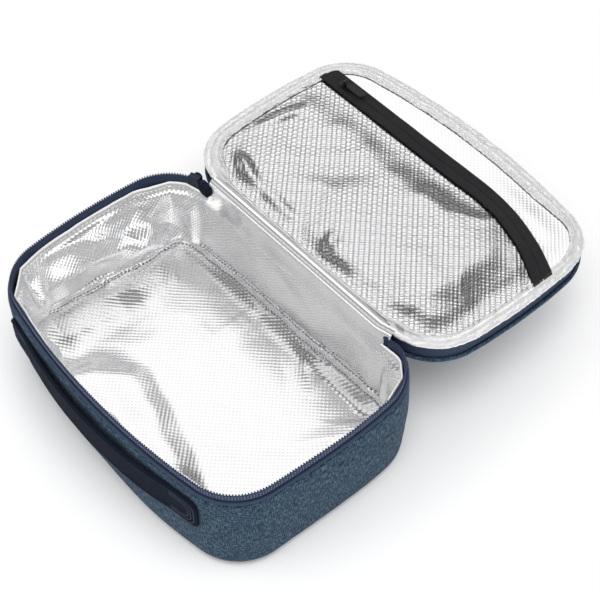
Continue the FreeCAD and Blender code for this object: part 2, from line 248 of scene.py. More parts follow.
def fill(node, inputs):  # each input gets a link where the value is a socket, a plain value otherwise
    for key, value in inputs.items():
        if isinstance(value, bpy.types.NodeSocket):
            node.id_data.links.new(value, node.inputs[key])
        else:
            node.inputs[key].default_value = value
    return node.outputs


def addNode(tree, kind, inputs={}, **own):  # gives the outputs
    node = tree.nodes.new(kind)
    for key, value in own.items():
        setattr(node, key, value)
    return fill(node, inputs)


def calc(op, *values):  # a socket knows its own tree
    tree = next(v.id_data for v in values if isinstance(v, bpy.types.NodeSocket))
    return addNode(tree, "ShaderNodeMath", dict(enumerate(values)), operation=op)[0]


def plus(a, b):
    return calc("ADD", a, b)


def times(a, b):
    return calc("MULTIPLY", a, b)


def waveOf(value, turn, length):
    return calc("SINE", calc("DIVIDE", times(value, turn), length))


def split(vector):
    return addNode(vector.id_data, "ShaderNodeSeparateXYZ", {0: vector})


def blendColour(share, a, b):
    return addNode(share.id_data, "ShaderNodeMix", {0: share, 6: a, 7: b}, data_type="RGBA")[2]


def mapped(vector, scale, turn=0.0, shift=(0, 0, 0)):
    return addNode(vector.id_data, "ShaderNodeMapping", {"Vector": vector, "Location": shift, "Scale": scale,
                                                         "Rotation": (0, 0, radians(turn))})[0]


def cloud(vector, scale, detail, roughness=0.5, shift=(0, 0, 0)):
    place = mapped(vector, scale, shift=shift)
    return addNode(vector.id_data, "ShaderNodeTexNoise", {"Vector": place, "Scale": 1.0, "Detail": detail,
                                                          "Roughness": roughness})[0]


def spread(value, low, high):
    return addNode(value.id_data, "ShaderNodeMapRange", {0: value, 1: low, 2: high})[0]


def bumped(height, distance, strength=1.0):
    return addNode(height.id_data, "ShaderNodeBump", {"Height": height, "Distance": distance,
                                                      "Strength": strength})[0]


def shaderGroup(name, ins, outs):  # an input with no value is a vector
    tree = bpy.data.node_groups.new(name, "ShaderNodeTree")
    for label, value in ins.items():
        kind = "Vector" if value is None else "Color" if isinstance(value, tuple) else "Float"
        socket = tree.interface.new_socket(label, in_out="INPUT", socket_type="NodeSocket" + kind)
        if value is not None:
            socket.default_value = value
    for label in outs:
        kind = "Color" if label == "Color" else "Float"
        tree.interface.new_socket(label, in_out="OUTPUT", socket_type="NodeSocket" + kind)
    return tree, tree.nodes.new("NodeGroupInput").outputs, tree.nodes.new("NodeGroupOutput")


heather = dict(Vector=None, Dark=(0.004, 0.011, 0.024, 1), Mid=(0.020, 0.048, 0.084, 1),
               Light=(0.110, 0.180, 0.245, 1))
heatherThread = 0.0011  # pitch of the weave


def makeHeather():  # slubby two-tone plain weave
    tree, a, b = shaderGroup("heatherWeave", heather, ("Color", "Height"))
    vec, at = a["Vector"], split(a["Vector"])
    weft = cloud(vec, (230, 1300, 1), 3)  # long slubs along the run
    warp = cloud(vec, (1300, 230, 1), 3, shift=(3.1, 7.7, 0))
    patch = cloud(vec, (60, 60, 1), 2, shift=(9, 2, 0))
    over = times(*(calc("SINE", times(at[k], 2 * pi / heatherThread)) for k in (0, 1)))  # the thread on top
    tone = plus(times(plus(weft, warp), 0.5), times(over, 0.03))
    colour = blendColour(spread(plus(tone, times(patch, 0.08)), 0.53, 0.68), a["Mid"], a["Light"])
    fill(b, {"Color": blendColour(spread(tone, 0.50, 0.38), colour, a["Dark"]),
             "Height": plus(times(over, 0.35), times(tone, 0.9))})
    return tree


def makeEmboss():  # small square pillows pressed in the foil, turned to the box sides
    tree, a, b = shaderGroup("foilEmboss", {"Vector": None, "Pitch": 0.0023, "Crumple": 0.4},
                             ("Height", "Rough", "Line"))
    vec, at = a["Vector"], split(mapped(a["Vector"], (1, 1, 1), 45))
    wander = times(cloud(vec, (70, 70, 70), 2), 0.0010)
    waves = [waveOf(plus(at[k], wander), pi, a["Pitch"]) for k in (0, 1)]
    pillow = plus(*(times(times(wave, wave), share) for wave, share in zip(waves, (0.6, 0.4))))
    crumple = times(cloud(vec, (240, 240, 240), 4, 0.6), a["Crumple"])
    # Line is a painted shade mask: 0 in the grooves between the pillows, where shade falls, 1 on the pillow
    # tops
    fill(b, {"Height": plus(pillow, crumple), "Line": spread(pillow, 0.05, 0.45),
             "Rough": plus(0.12, times(cloud(vec, (900, 900, 900), 2), 0.14))})
    return tree


def makeRib():  # close cross ribs of a zip tape or webbing
    tree, a, b = shaderGroup("tapeRib", {"Vector": None, "Rib": 0.0009, "Thread": 0.0006}, ("Height", "Tone"))
    at = split(a["Vector"])
    lean = plus(at[0], times(calc("PINGPONG", at[1], 0.002), 0.5))
    rib, thread = waveOf(lean, 2 * pi, a["Rib"]), waveOf(at[1], 2 * pi, a["Thread"])
    fuzz = cloud(a["Vector"], (700, 700, 700), 3)
    weave = plus(times(rib, 0.5), times(thread, 0.25))
    fill(b, {"Height": plus(weave, fuzz), "Tone": spread(plus(weave, times(fuzz, 1.2)), -0.4, 1.6)})
    return tree


heatherWeave, foilEmboss, tapeRib = makeHeather(), makeEmboss(), makeRib()


def startFinish(name):
    mat = bpy.data.materials.new(name)
    mat.use_nodes = True
    return mat, mat.node_tree, mat.node_tree.nodes["Principled BSDF"]


def placeGroup(tree, group, **values):
    where = addNode(tree, "ShaderNodeTexCoord")["UV"]
    return addNode(tree, "ShaderNodeGroup", {"Vector": where, **values}, node_tree=group)


def heatherFinish():
    mat, tree, shader = startFinish("heatherDenim")
    cloth = placeGroup(tree, heatherWeave)
    fill(shader, {"Base Color": cloth["Color"], "Roughness": 0.9, "Specular IOR Level": 0.2,
                  "Sheen Weight": 0.04, "Normal": bumped(cloth["Height"], 0.0003, 0.7)})
    return mat


foilTint = (0.97, 0.97, 0.975)


def foilFinish(name, pitch, crumple, bump, grooveShade, metal=1.0):  # the fourth number darkens the foil colour along the lines between the pillows: painted shade in the emboss grooves
    mat, tree, shader = startFinish(name)
    emboss = placeGroup(tree, foilEmboss, Pitch=pitch, Crumple=crumple)
    # painted shade: the foil tint darkened for the grooves
    grooveShadeTint = tuple(c * grooveShade for c in foilTint)
    fill(shader, {"Base Color": blendColour(emboss["Line"], grooveShadeTint + (1,), foilTint + (1,)), "Metallic": metal,
                  "Roughness": emboss["Rough"], "Normal": bumped(emboss["Height"], bump)})
    return mat


def tapeFinish(name, dark, light, rib, thread, bump, roughness=0.8, shine=0.25):
    mat, tree, shader = startFinish(name)
    ribs = placeGroup(tree, tapeRib, Rib=rib, Thread=thread)
    fill(shader, {"Base Color": blendColour(ribs["Tone"], dark + (1,), light + (1,)), "Roughness": roughness,
                  "Specular IOR Level": shine, "Sheen Weight": shine / 10,
                  "Normal": bumped(ribs["Height"], bump, 0.8)})
    return mat


def grainFinish(name, colour, roughness, metallic=0.0):  # moulded or coated pieces
    mat, tree, shader = startFinish(name)
    grain = cloud(addNode(tree, "ShaderNodeTexCoord")["Object"], (900, 900, 900), 3)
    pale = tuple(min(1, c * 1.35 + 0.004) for c in colour)
    fill(shader, {"Base Color": blendColour(spread(grain, 0.35, 0.7), colour + (1,), pale + (1,)),
                  "Roughness": plus(roughness, times(grain, 0.15)), "Metallic": metallic,
                  "Normal": bumped(grain, 0.00004)})
    return mat


denim = heatherFinish()
# the fourth number of each foil is painted shade in its emboss grooves
foil = foilFinish("embossedFoil", 0.0027, 0.4, 0.00010, 0.86)
sideFoil = foilFinish("sideFoil", 0.0027, 0.4, 0.00014, 0.84)
lidFoil = foilFinish("lidFoil", 0.0027, 0.4, 0.00010, 0.90)
bindingFoil = foilFinish("bindingFoil", 0.0150, 3.4, 0.00028, 0.92, 0.72)
smoothFoil = foilFinish("smoothFoil", 0.0027, 0.6, 0.00003, 0.92)
hemWhite = grainFinish("hemWhite", (0.88, 0.88, 0.88), 0.45)
navyTape = tapeFinish("navyTape", (0.019, 0.032, 0.066), (0.055, 0.080, 0.142), 0.0011, 0.0007, 0.0002)
navyTooth = grainFinish("navyTooth", (0.016, 0.026, 0.070), 0.38)
webbing = tapeFinish("navyWebbing", (0.0025, 0.0050, 0.0115), (0.0080, 0.0130, 0.0260), 0.0016, 0.0009,
                     0.0003, 0.85, 0.08)
tabCloth = tapeFinish("tabCloth", (0.006, 0.008, 0.020), (0.018, 0.022, 0.046), 0.0012, 0.0007, 0.0002,
                      0.75, 0.10)
blackTape = tapeFinish("blackTape", (0.006, 0.006, 0.007), (0.022, 0.022, 0.024), 0.0010, 0.0007, 0.0002, 0.7)
blackThread = grainFinish("blackThread", (0.010, 0.010, 0.011), 0.5)
navyThread = grainFinish("navyThread", (0.022, 0.030, 0.060), 0.7)
coilThread = grainFinish("coilThread", (0.16, 0.20, 0.29), 0.5)
silverThread = grainFinish("silverThread", (0.10, 0.10, 0.104), 0.5)
navyMetal = grainFinish("navyMetal", (0.012, 0.016, 0.034), 0.32, 0.4)
blackMetal = grainFinish("blackMetal", (0.010, 0.010, 0.011), 0.32, 0.4)
print("finishes made")

# trees that stand a shape on every point: beads for teeth and stitches, threads for the net


def growTree(name, ins):
    tree = bpy.data.node_groups.new(name, "GeometryNodeTree")
    for label, kind in (("Geometry", "Geometry"), *ins.items(), ("Finish", "Material")):
        tree.interface.new_socket(label, in_out="INPUT", socket_type="NodeSocket" + kind)
    tree.interface.new_socket("Geometry", in_out="OUTPUT", socket_type="NodeSocketGeometry")
    return tree, addNode(tree, "NodeGroupInput")


def facing(tree, label, axis, inputs={}, **own):  # turns an axis along a field of the points
    read = addNode(tree, "GeometryNodeInputNamedAttribute", {"Name": label}, data_type="FLOAT_VECTOR")
    inputs = {"Vector": read["Attribute"], **inputs}
    return addNode(tree, "FunctionNodeAlignRotationToVector", inputs, axis=axis, **own)[0]


def standOnPoints(tree, a, inputs):
    stand = addNode(tree, "GeometryNodeInstanceOnPoints", {"Points": a["Geometry"], **inputs})
    soft = addNode(tree, "GeometryNodeSetShadeSmooth", {0: stand[0]})
    real = addNode(tree, "GeometryNodeRealizeInstances", {0: soft[0]})
    paint = addNode(tree, "GeometryNodeSetMaterial", {0: real[0], "Material": a["Finish"]})
    addNode(tree, "NodeGroupOutput", {0: paint[0]})
    return tree


def makeBeads():
    tree, a = growTree("rowOfBeads", {"Size": "Vector", "Vary": "Float", "Seed": "Int"})
    ball = addNode(tree, "GeometryNodeMeshUVSphere", {"Segments": 8, "Rings": 5, "Radius": 0.5})
    turn = facing(tree, "up", "Z", {"Rotation": facing(tree, "along", "X")}, pivot_axis="X")
    low, high = (calc(op, 1.0, a["Vary"]) for op in ("SUBTRACT", "ADD"))
    pick = addNode(tree, "FunctionNodeRandomValue", {2: low, 3: high, "Seed": a["Seed"]})
    size = addNode(tree, "ShaderNodeVectorMath", {0: a["Size"], "Scale": pick[1]}, operation="SCALE")
    return standOnPoints(tree, a, {"Instance": ball["Mesh"], "Rotation": turn, "Scale": size[0]})


def makeNetCells():  # three threads meeting at each point
    tree, a = growTree("netCells", {"Side": "Float", "Thread": "Float", "Turn": "Float"})
    size = {"Vertices": 5, "Radius": a["Thread"], "Depth": a["Side"]}
    rod = addNode(tree, "GeometryNodeMeshCylinder", size, fill_type="NONE")
    place = addNode(tree, "ShaderNodeCombineXYZ", {0: times(a["Side"], 0.5)})
    lay = addNode(tree, "GeometryNodeTransform", {"Geometry": rod["Mesh"], "Translation": place[0],
                                                  "Rotation": (0, pi / 2, 0)})
    join = tree.nodes.new("GeometryNodeJoinGeometry")
    for k in range(3):
        turned = {"Geometry": lay[0], "Rotation": (0, 0, 2 * pi * k / 3)}
        fill(join, {0: addNode(tree, "GeometryNodeTransform", turned)[0]})
    turn = addNode(tree, "ShaderNodeCombineXYZ", {2: a["Turn"]})
    euler = addNode(tree, "FunctionNodeEulerToRotation", {0: turn[0]})
    turns = {"Rotation": facing(tree, "up", "Z"), "Rotate By": euler[0]}
    spin = addNode(tree, "FunctionNodeRotateRotation", turns, rotation_space="LOCAL")
    return standOnPoints(tree, a, {"Instance": join.outputs[0], "Rotation": spin[0]})


rowOfBeads, netCells = makeBeads(), makeNetCells()


def grown(name, group, points, fields, **values):  # runs a tree on points and keeps its plain mesh
    mesh = bpy.data.meshes.new(name + "Points")
    mesh.from_pydata([tuple(p) for p in points], [], [])
    for label, data in fields.items():
        field = mesh.attributes.new(label, "FLOAT_VECTOR", "POINT")
        field.data.foreach_set("vector", np.asarray(data, np.float32).ravel())
    holder = linked(name + "Points", mesh)
    mod = holder.modifiers.new("grow", "NODES")
    mod.node_group = group
    for item in group.interface.items_tree:
        if item.in_out == "INPUT" and item.name in values:
            mod[item.identifier] = values[item.name]
    done = bpy.data.meshes.new_from_object(holder.evaluated_get(bpy.context.evaluated_depsgraph_get()))
    done.name = name
    bpy.data.objects.remove(holder)
    return linked(name, done)


def beadRow(name, line, up, pitch, size, finish, vary, seed, closed=False):  # line is a dense run of points
    if closed:
        line, up = looped(line), looped(up)
    run = runOf(line)
    t = np.linspace(0, run[-1], max(2, int(run[-1] / pitch)), endpoint=not closed)
    at = lambda t, values: np.stack([np.interp(t, run, values[:, k]) for k in range(3)], 1)
    ahead, behind = at(np.minimum(t + 1e-4, run[-1]), line), at(np.maximum(t - 1e-4, 0), line)
    return grown(name, rowOfBeads, at(t, line), {"along": unit(ahead - behind), "up": unit(at(t, up))},
                 Size=size, Vary=vary, Seed=seed, Finish=finish)


# the soft tray as it stands: one back corner is pulled out and up by the lid, and the foot draws in a little
slump = dict(corner=(0.0048, 0.0044, 0.0040), cornerX=(0.084, 0.108), cornerY=(-0.040, 0.052),
             cornerZ=(0.030, 0.080), foot=(0.058, 0.0), side=0.0046, sideX=(0.080, 0.125),
             sideY=(-0.110, 0.030), front=0.0036, frontX=(0.070, -0.010), frontY=(-0.055, -0.080))


def slumped(points):
    x, y, z = points.T
    part = lambda key, value: smooth(*slump[key], value)
    corner, low = part("cornerX", x) * part("cornerY", y), part("foot", z)
    moved = points.copy()
    moved[:, 0] += slump["corner"][0] * corner - slump["side"] * low * part("sideX", x) * part("sideY", y)
    moved[:, 1] += slump["corner"][1] * corner + slump["front"] * low * part("frontX", x) * part("frontY", y)
    moved[:, 2] += slump["corner"][2] * corner * part("cornerZ", z)
    return moved


def settle(obj, body, slot, *nodes, opened=False):  # lid pieces are made as if closed, unless opened
    if body == "base":
        verts = obj.data.vertices
        flat = np.empty(3 * len(verts), np.float32)
        verts.foreach_get("co", flat)
        verts.foreach_set("co", slumped(flat.reshape(-1, 3).astype(float)).astype(np.float32).ravel())
    elif not opened:
        obj.data.transform(lidOpen)
    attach(obj, body)
    if nodes:
        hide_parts(*nodes)
    return obj


def pastHinge(beyond, count):  # from one side of the hinge round the front to the other
    start = planWhereX(hinge["half"] + beyond)
    return np.linspace(start, loopLength - start, count)


whole = around(420)
zipEnd = loopLength - planWhereX(hinge["half"] + hinge["zipGap"])
zipRun = np.linspace(planWhereX(hinge["tapeEnd"]), zipEnd, 380)
lidZipRun = pastHinge(hinge["lidZipGap"], 380)

# tray: cloth wall and underside
wall = dict(top=0.0760, round=0.009, shoulder=0.0026, sideLow=0.012, sideDrop=0.003, tuck=0.0028,
            tuckDrops=(0.002, 0.006), puff=0.0009, puffWave=[(0.6, 0.05, 1)], dent=[(0.0005, 0.018, 2)],
            dentFrom=0.02, held=0.0745, underRise=0.0002, underRun=0.02)


def arcPoints(inset, z, r, start, end, count):  # (inset, height) points on an arc that opens outwards
    return [(inset - r * cos(a), z + r * sin(a)) for a in np.linspace(start, end, count)]


def wallSection():
    top, foot, r = wall["top"], wall["round"], wall["shoulder"]
    side = [(0.0, z) for z in np.linspace(wall["sideLow"], top - wall["sideDrop"], 22)]
    return (arcPoints(foot, foot, foot, -pi / 2, 0, 9) + side + arcPoints(r, top - r, r, 0.2, pi / 2, 6)
            + [(wall["tuck"], top - drop) for drop in wall["tuckDrops"]])


def puffWall(points, out, s):
    z = points[..., 2]
    belly = np.sin(np.clip(z / wall["top"], 0, 1) * pi)
    swell = wall["puff"] * belly * (0.6 + rippled(points, wall["puffWave"]))
    swell += rippled(points, wall["dent"]) * smooth(0.0, wall["dentFrom"], z)
    return pushed(points, out, np.where(z > wall["held"], 0, swell))


def undersideHeight(xy):
    return wall["underRise"] * smooth(0, wall["underRun"], depthInside(xy) - wall["round"])


wallCloth = ringPiece("wallCloth", whole, wallSection(), denim, True, puffWall)
settle(wallCloth, "base", "heather_fabric", "base_wall_fabric", "base_wall_foam")
settle(discPiece("undersideCloth", whole, wall["round"], 24, denim, undersideHeight, False),
       "base", "heather_fabric", "base_bottom_fabric")
print("tray cloth done")

# tray: foil lining, welted foot seam and white rim hem
rimLine = [(0.0043, 0.0785), (0.0043, 0.0768), (0.0045, 0.0750), (0.0049, 0.0732), (0.0054, 0.0715),
           (0.0059, 0.0702)]  # inset and height of the foil below the rim
lining = dict(shelf=0.0690, shelfInset=0.0063, rows=40, hang=1.4, foam=0.0062, hingeTop=0.0705,
              chordZ=(0.030, 0.074), freeZ=(0.077, 0.058), footFree=0.010, footStart=0.002,
              backFacing=(0.94, 0.995), backCalm=0.85, swell=0.0026, swellNoise=(0.050, 3), swellBias=0.4,
              swellCalm=0.5, fine=[(0.0003, 0.010, 6)], sag=0.0056, sagTop=0.0600, sagDepth=0.017,
              sagSlope=0.10, sagY=0.01, sagWave=[(0.0050, 0.030, 15)], sagVary=[(0.5, 0.022, 17)],
              leftFacing=(-0.80, -0.96), lift=[(0.0016, 0.03, 11)], edge=[(0.0006, 0.012, 13)])
wallFolds = dict(count=46, seed=7, spanV=(0.024, 0.074), wide=(0.010, 0.024), tall=(-0.0022, 0.0058),
                 lean=(-1.3, 1.3))
cornerFolds = dict(count=40, seed=19, spanV=(0.022, 0.070), wide=(0.008, 0.016), tall=(0.0, 0.0055),
                   lean=(0.7, 2.4))
# where the zip catches the edge, in runs of which 0.80 goes once round
rimKinks = [0.092, 0.112, 0.126, 0.158, 0.189, 0.237, 0.262, 0.290, 0.345, 0.40]
seamMarks = [(13, 81, 20), (-42, 80, 20), (-97, 77, 20), (-112, 73, 20.5), (-116, 44, 21), (-120, 18, 21),
             (-122, -9, 22), (-122, -36, 25), (-120, -59, 27), (-106, -73, 26), (-60, -80, 23), (0, -81, 21),
             (60, -80, 20), (106, -72, 20), (120, -30, 20), (120.5, 30, 20), (113, 64, 23), (98, 78, 26),
             (68, 81, 25), (40, 81, 22)]  # mm along the foot
liningRun = around(640)
liningU = np.append(liningRun, loopLength)
linePoint, lineOut = planAt(liningRun)


def makeSeam():  # inset and height of the foot seam along the lining
    marks = np.array(seamMarks) / 1000
    fine = around(1536)
    p, out = planAt(fine)
    nearest = [np.argmin(np.linalg.norm(p - q, axis=1)) for q in marks[:, :2]]
    inset = np.array([(p[k] - q) @ out[k] for k, q in zip(nearest, marks[:, :2])])
    order = np.argsort(fine[nearest])
    found = []
    for v in (inset, marks[:, 2]):
        v = np.interp(fine, fine[nearest][order], v[order], period=loopLength)
        v = np.convolve(np.concatenate([v[-6:], v, v[:6]]), np.ones(13) / 13, "valid")
        found.append(np.interp(liningRun, fine, v, period=loopLength))
    return found


seamInset, seamZ = makeSeam()


def tents(u, v, count, seed, spanV, wide, tall, lean, spanU=(0, loopLength)):  # straight flat-sided folds
    pick = np.random.default_rng(seed)
    total = np.zeros_like(u)
    for k in range(count):
        cu, cv = pick.uniform(*spanU), pick.uniform(*spanV)
        turn = pick.uniform(*lean)
        w, reach, high = pick.uniform(*wide), pick.uniform(0.018, 0.050), pick.uniform(*tall)
        du = (u - cu + spanU[1] / 2) % spanU[1] - spanU[1] / 2 if spanU[0] == 0 else u - cu
        along = du * cos(turn) + (v - cv) * sin(turn)
        across = -du * sin(turn) + (v - cv) * cos(turn)
        ridge = np.clip(1 - np.sqrt(across ** 2 + 4e-7) / w, 0, 1)
        total += high * ridge * np.clip(1.3 - np.abs(along) / reach, 0, 1)
    return total


backHalf = planWhereX(hinge["half"] + hinge["foilGap"])
backRun = (liningRun < backHalf) | (liningRun > loopLength - backHalf)


def makeChords():  # how far the straight stretches of the lining's edge cut inside the curved rim
    left = np.array(rimKinks) * loopLength / 0.80
    kinks = np.concatenate([left, loopLength - left[::-1][1:]])
    k = np.clip(np.searchsorted(kinks, liningRun) - 1, 0, len(kinks) - 2)
    share = np.clip((liningRun - kinks[k]) / (kinks[k + 1] - kinks[k]), 0, 1)
    ends = planAt(kinks)[0]
    chord = ends[k] + (ends[k + 1] - ends[k]) * share[:, None]
    cut = np.sum((linePoint - chord) * lineOut, axis=1)
    return np.where((liningRun < kinks[0]) | (liningRun > kinks[-1]), 0, np.clip(cut, 0, 0.006))


rimChord = makeChords()


def makeLining():
    p, out = linePoint, lineOut
    rows = np.linspace(0, 1, lining["rows"])[None]
    first, shelf = lining["shelfInset"], lining["shelf"]
    rimD, rimZ = (np.tile(column, (len(p), 1)) for column in np.array(rimLine).T)
    d = np.concatenate([rimD, first + (seamInset - first)[:, None] * rows ** lining["hang"]], 1)
    z = np.concatenate([rimZ, shelf + (seamZ - shelf)[:, None] * rows], 1)
    s = np.broadcast_to(liningRun[:, None], z.shape)
    room = smooth(*lining["freeZ"], z)
    room = room * smooth(0, lining["footFree"], z - seamZ[:, None] + lining["footStart"])
    solid = standing(p, out, d, z)
    corner = np.abs(np.sin(2 * np.arctan2(out[:, 1], out[:, 0])))[:, None] ** 2
    calm = smooth(*lining["backFacing"], out[:, 1])[:, None]  # the back wall hangs nearly flat from the lid
    folds = tents(s, z, **wallFolds) + corner * tents(s, z, **cornerFolds)
    folds = folds * (1 - lining["backCalm"] * calm)
    swell = lining["swell"] * (rough(solid, *lining["swellNoise"]) + lining["swellBias"])
    swell = swell * (1 - lining["swellCalm"] * calm) + rippled(solid, lining["fine"])
    inward = np.maximum(room * (folds + swell), lining["foam"] - d) * (z < lining["hingeTop"])
    d = d + inward + rimChord[:, None] * smooth(*lining["chordZ"], z)
    left = smooth(*lining["leftFacing"], out[:, 0])[:, None] * room  # sags in below a wandering line
    alongWall = solid * np.array([0, 1, 0])
    start = lining["sagTop"] + rippled(alongWall, lining["sagWave"])
    start = start - lining["sagSlope"] * (solid[..., 1] - lining["sagY"])
    sag = lining["sag"] * smooth(start, start - lining["sagDepth"], z)
    d = d + left * sag * (0.75 + rippled(alongWall, lining["sagVary"]))
    points = standing(p, out, d, z + rippled(solid, lining["lift"]) * room)
    points[:, 0, 2] += rippled(points[:, 0], lining["edge"])
    points[backRun, :, 2] = np.minimum(points[backRun, :, 2], lining["hingeTop"])  # the hinge foil carries on
    v = np.linspace(0, 0.075, z.shape[1] + 1)
    return gridPiece("wallFoil", points, sideFoil, True, False, liningU, v)


wallFoil = makeLining()
settle(wallFoil, "base", "silver_foil", "liner_wall_foil")

pillow = dict(x=-0.036, y=-0.0275, leftBend=22.0, rightFall=0.34, rightBend=0.020, slope=0.37, side=0.027,
              leftEnd=(-0.090, -0.062), rightEnd=(0.098, 0.066), wander=[(0.0032, 0.026, 29)],
              tail=1.2)


def bellied(xy):  # the floor foil bellies up along the front
    run, bend, half = xy[:, 0] - pillow["x"], pillow["rightBend"], pillow["side"] / 2
    right = pillow["rightFall"] * (np.hypot(run, bend) - bend)
    fall = np.where(run < 0, pillow["leftBend"] * run ** 2, right)
    lean = np.where(run < 0, 2 * pillow["leftBend"] * run, pillow["rightFall"])
    gap = (pillow["y"] - fall - xy[:, 1]) / np.hypot(1, lean) + rippled(withZ(xy), pillow["wander"])
    window = smooth(*pillow["leftEnd"], xy[:, 0]) * smooth(*pillow["rightEnd"], xy[:, 0])
    step = np.linspace(-pillow["tail"], pillow["tail"], 241)  # an even slope with rounded ends
    steep = np.clip((pillow["tail"] - np.abs(step)) / 0.85, 0, 1)
    climb = np.cumsum(steep) * (step[1] - step[0]) * pillow["slope"] * half
    return window * np.interp(gap, step * half, climb)


floorSet = dict(z=0.0142, rings=84, tuck=0.0012, reach=0.046, backReach=0.026, backY=(0.060, 0.074),
                riseSpan=(-0.25, 1.0), middleRun=0.07, seamFree=(0.0, 0.008), foldFade=(0.060, 0.012),
                softFrom=0.015, soft=[(0.0010, 0.06, 21), (0.00015, 0.014, 25)],
                blend=6e-6, blendLift=0.00245)
floorFolds = dict(count=34, seed=31, spanU=(-0.124, 0.124), spanV=(-0.076, 0.076), wide=(0.010, 0.022),
                  tall=(-0.0005, 0.0019), lean=(0, 3.14))


def floorHeight(xy):
    rings, edge = floorSet["rings"], xy[:len(liningRun)]
    scale = np.repeat(np.linspace(1, 0, rings + 1)[:-1], len(edge))
    # run in from the seam
    d = np.append(np.tile(np.linalg.norm(edge, axis=1), rings) * (1 - scale), floorSet["middleRun"])
    top = np.append(np.tile(seamZ - floorSet["tuck"], rings), seamZ.mean())
    reach = floorSet["reach"] - floorSet["backReach"] * smooth(*floorSet["backY"], edge[:, 1])
    into = d / np.append(np.tile(reach, rings), floorSet["reach"])
    span = floorSet["riseSpan"]
    rise = (top - floorSet["z"]) * (1 - smooth(*span, into)) / (1 - smooth(*span, 0.0))
    near = smooth(*floorSet["seamFree"], d) * (0.25 + 0.75 * smooth(*floorSet["foldFade"], d))
    flat3, belly = withZ(xy), bellied(xy)
    soft = smooth(0, floorSet["softFrom"], d) * rippled(flat3, floorSet["soft"])
    gap = np.sqrt((rise - belly) ** 2 + floorSet["blend"])
    raised = (rise + belly + gap - floorSet["blendLift"]) / 2  # the higher of the two, blended
    return floorSet["z"] + raised + near * tents(*xy.T, **floorFolds) + soft


floorFoil = discPiece("floorFoil", liningRun, seamInset + 0.0002, floorSet["rings"], foil, floorHeight, True)
settle(floorFoil, "base", "silver_foil", "liner_floor_foil", "base_floor_foam")

welt = dict(over=0.0046, under=0.0040, back=-0.0012, lean=0.0042, thick=0.0014, bulge=0.0009, stitch=0.0030,
            bead=(0.0021, 0.0008, 0.0007), rows=(2, 8), wave=[(0.0011, 0.022, 31), (0.0007, 0.007, 33)],
            lift=[(0.0008, 0.007, 37)])


def makeWelt():  # a folded band sewn over the foot seam
    tall = welt["over"] + welt["under"]
    section = [(welt["back"] + welt["lean"] * t, welt["over"] - tall * t,
                welt["thick"] + welt["bulge"] * sin(pi * t)) for t in np.linspace(0, 1, 11)]
    section += [(0.0030, -welt["under"] - 0.0002, 0.0001), (welt["back"], welt["over"] - 0.0003, -0.0003)]
    section = np.array(section)
    d = seamInset[:, None] + section[None, :, 0] + section[None, :, 2] * 0.8
    z = seamZ[:, None] + section[None, :, 1] + section[None, :, 2] * 0.5
    points = standing(linePoint, lineOut, d, z)
    points = pushed(points, lineOut, rippled(points, welt["wave"]))
    points[..., 2] += rippled(points, welt["lift"])
    v = np.append(np.linspace(0, 0.010, len(section)), 0.012)
    return gridPiece("footWelt", points[:, ::-1], foil, True, True, liningU, v), points


footWelt, weltPoints = makeWelt()
settle(footWelt, "base", "silver_foil", "liner_floor_welt")
inward = withZ(-lineOut, 0.6)
for k, column in enumerate(welt["rows"]):
    line = weltPoints[:, column] + unit(inward) * 0.0001
    row = beadRow("weltStitch%d" % k, line, inward, welt["stitch"], welt["bead"], silverThread, 0.1, 40 + k,
                  True)
    settle(row, "base", "silver_foil")

hemSection = [(0.0051, 0.0788), (0.0046, 0.0793), (0.0040, 0.0790), (0.0037, 0.0778), (0.0038, 0.0762),
              (0.0052, 0.0762)]
hem = dict(inset=0.0002, wave=[(0.0004, 0.014, 41)], lift=[(0.0007, 0.018, 43), (0.0003, 0.005, 44)])


def hemWave(points, out, s):
    cut = np.interp(s, liningRun, rimChord)[:, None]
    moved = pushed(points, out, rippled(points, hem["wave"]) - hem["inset"] - cut)
    moved[..., 2] += rippled(points, hem["lift"])
    return moved


hemRun = pastHinge(hinge["hemGap"], 420)
settle(ringPiece("rimHem", hemRun, hemSection, hemWhite, False, hemWave, True),
       "base", "silver_foil", "liner_rim_hem")
print("lining done")

# rim zip of the tray
tape = dict(out=0.0026, inside=0.0034, low=0.0735, top=0.0848, freeZ=(0.078, 0.086),
            wave=[(0.0004, 0.03, 51)], pitch=0.0020, tooth=(0.00125, 0.0026, 0.0020), toothZ=0.0853,
            thread=(0.0011, 0.0009, 0.0005), threadZ=(0.0817, 0.0838))
tapeMid = (tape["out"] + tape["inside"]) / 2


def tapeSection(low, top):
    outer = [(tape["out"], z) for z in np.linspace(low, top, 8)]
    return outer + [(tapeMid, top + 0.0002)] + [(tape["inside"], z) for z in np.linspace(top, low, 8)]


def tapeWave(points, out, s):
    return pushed(points, out, smooth(*tape["freeZ"], points[..., 2]) * rippled(points, tape["wave"]))


def zipTeeth(name, run, height, waves):
    points, out = sweep(run, [(tapeMid, height)])
    if waves:
        points = tapeWave(points, out, run)
    return beadRow(name, points[:, 0], withZ(out), tape["pitch"], tape["tooth"], navyTooth, 0.03, 60)


traySection = tapeSection(tape["low"], tape["top"])
settle(ringPiece("trayTape", zipRun, traySection, navyTape, False, tapeWave, True, 50),
       "base", "navy_tape", "base_zip_tape")
settle(zipTeeth("trayTeeth", zipRun, tape["toothZ"], True), "base", "navy_coil", "base_zip_coil")
for k, height in enumerate(tape["threadZ"]):  # rows of thread on the outer face
    line, out = sweep(zipRun, [(tape["out"] - 0.00015, height)])
    row = beadRow("trayCoilThread%d" % k, line[:, 0], withZ(out), tape["pitch"], tape["thread"], coilThread,
                  0.08, 61 + k)
    settle(row, "base", "navy_coil")

piping = dict(inset=0.0013, z=0.0781, radius=0.0012)
pipeSection = arcPoints(*piping.values(), 0, 2 * pi, 13)[:-1]
settle(ringPiece("rimPiping", zipRun, pipeSection[::-1], navyTape, False, None, True), "base", "navy_tape")


